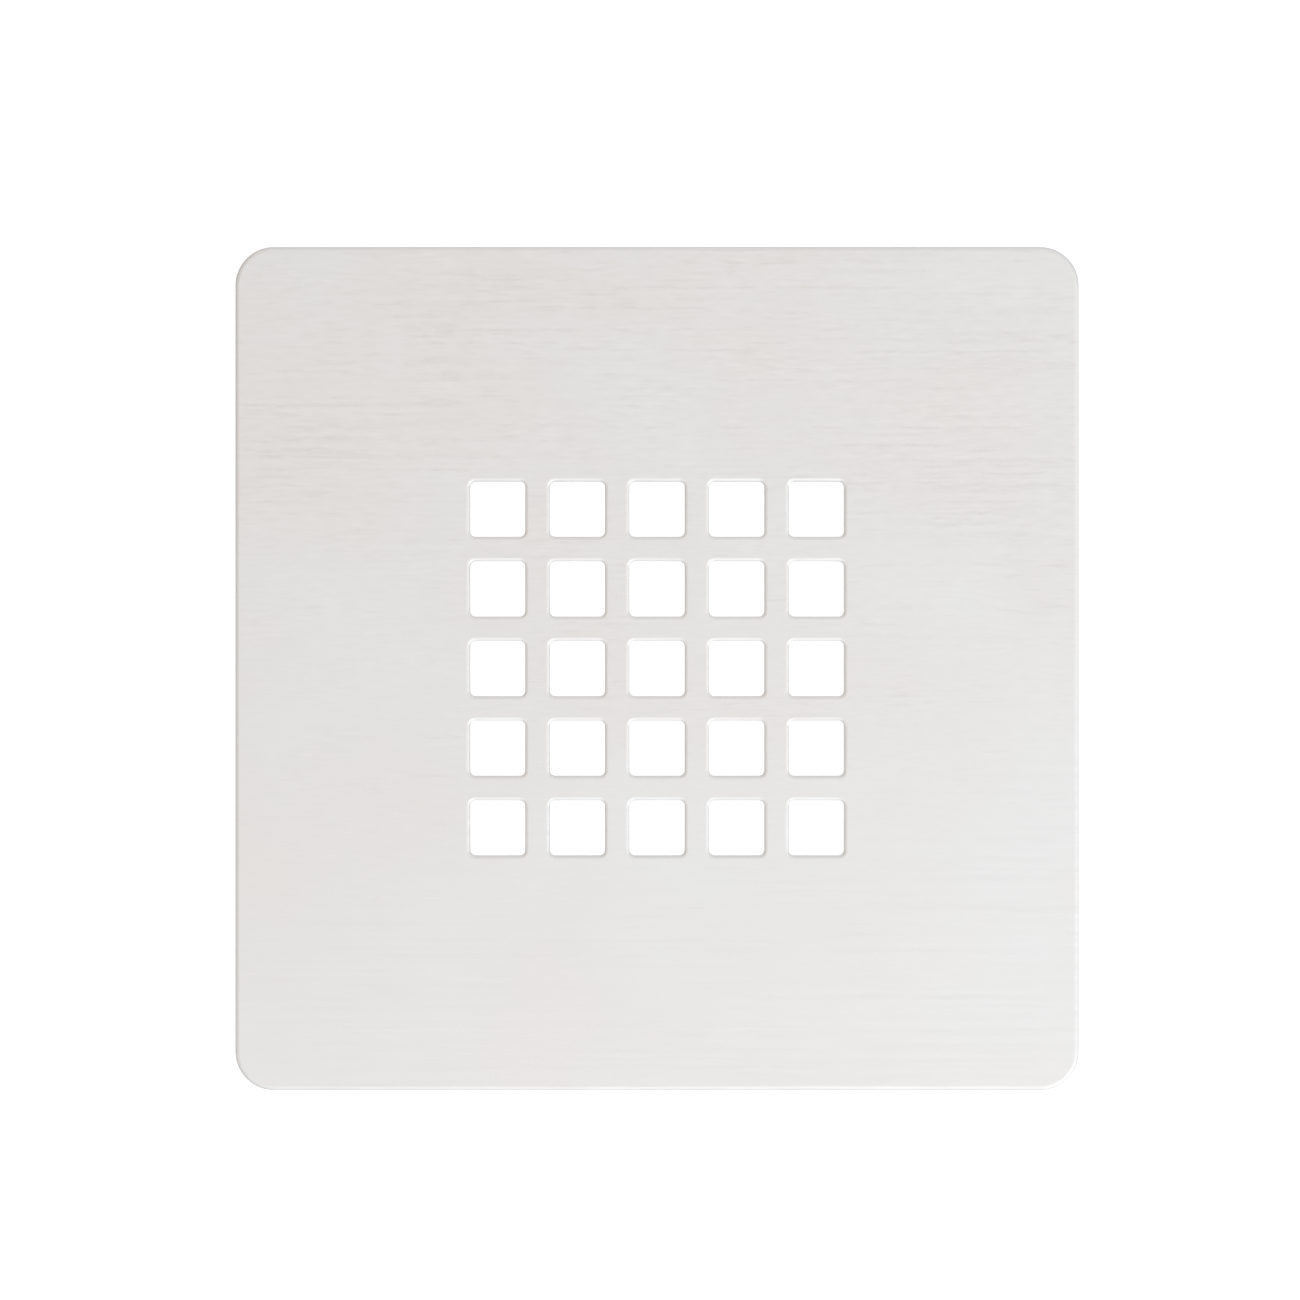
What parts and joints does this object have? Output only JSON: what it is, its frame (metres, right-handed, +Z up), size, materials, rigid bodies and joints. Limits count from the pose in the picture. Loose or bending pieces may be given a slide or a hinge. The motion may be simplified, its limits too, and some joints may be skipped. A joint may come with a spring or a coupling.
{
  "type": "floor drain grate",
  "caption": "Square brushed stainless floor drain grate with rounded corners, a central field of square holes and soft bumpers underneath.",
  "frame": {"origin": "on the surface the bumpers stand on, under the centre of the square sheet", "axes": "+Z up out of the floor, +X right along the brush lines, +Y back"},
  "size_m": [0.12, 0.12, 0.0053],
  "materials": {
    "brushed_stainless": "fine straight brush lines along X",
    "bumper": "satin, slightly cloudy elastomer",
    "adhesive": "matt acrylic film"
  },
  "bodies": {
    "root": {"grate_sheet": "brushed_stainless", "bumper_front_left": "bumper", "bumper_front_right": "bumper", "bumper_back_left": "bumper", "bumper_back_right": "bumper", "adhesive_front_left": "adhesive", "adhesive_front_right": "adhesive", "adhesive_back_left": "adhesive", "adhesive_back_right": "adhesive"}
  },
  "joints": []
}
